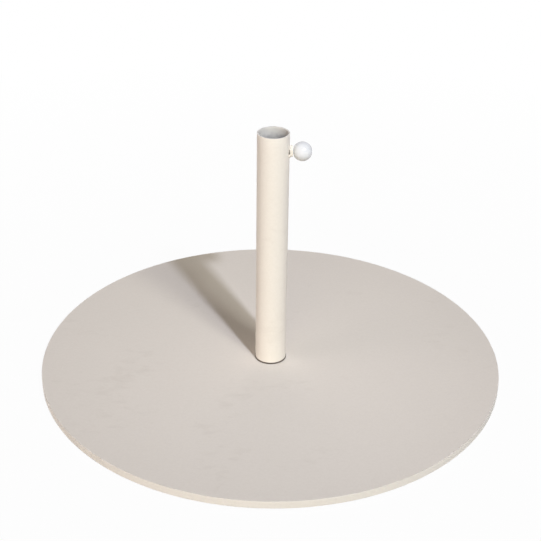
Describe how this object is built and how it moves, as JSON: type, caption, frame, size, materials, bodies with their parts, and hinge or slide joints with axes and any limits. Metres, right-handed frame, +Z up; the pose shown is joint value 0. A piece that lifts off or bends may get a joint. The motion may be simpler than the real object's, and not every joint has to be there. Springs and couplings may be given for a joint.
{
  "type": "parasol base",
  "caption": "Flat round steel parasol base with an upright pole tube, open at the top, and a ball-knob clamp screw through a nut welded near the tube's mouth.",
  "frame": {"origin": "on the floor, under the pole tube's axis", "axes": "+Z up along the pole tube, +X along the clamp screw from the tube towards its knob"},
  "size_m": [0.6, 0.6, 0.333],
  "materials": {
    "powder_coat": "cream powder coat, fine satin texture",
    "bare_steel": "turned steel",
    "zinc_plated_steel": "zinc plated",
    "brass": "turned brass",
    "ball_plastic": "polished moulded plastic, cool white",
    "nylon": "moulded nylon",
    "rubber": "black rubber"
  },
  "bodies": {
    "stand": {"base_plate": "powder_coat", "pole_tube": "powder_coat", "tube_plug": "bare_steel", "tube_gasket": "rubber", "fixing_screw": "zinc_plated_steel", "weld_nut": "powder_coat", "nut_weld_upper": "powder_coat", "nut_weld_lower": "powder_coat", "foot_pad_1": "rubber", "foot_pad_2": "rubber", "foot_pad_3": "rubber", "foot_pad_4": "rubber", "foot_pad_5": "rubber", "foot_pad_6": "rubber"},
    "thrust_pad": {"thrust_pad": "nylon"},
    "clamp_screw": {"clamp_stud": "zinc_plated_steel", "knob_insert": "brass", "ball_knob": "ball_plastic"}
  },
  "joints": [
    {"name": "clamp_travel", "type": "slide", "parent": "stand", "child": "thrust_pad", "axis": [1, 0, 0], "range_m": [-0.001, 0.0025]},
    {"name": "clamp_turn", "type": "hinge", "parent": "thrust_pad", "child": "clamp_screw", "pos_m": [0.0354, 0, 0.309], "axis": [1, 0, 0], "range_deg": [-288, 720]}
  ],
  "couplings": [
    {"joint": "clamp_turn", "follows": "clamp_travel", "rad_per_m": 5026.5}
  ]
}
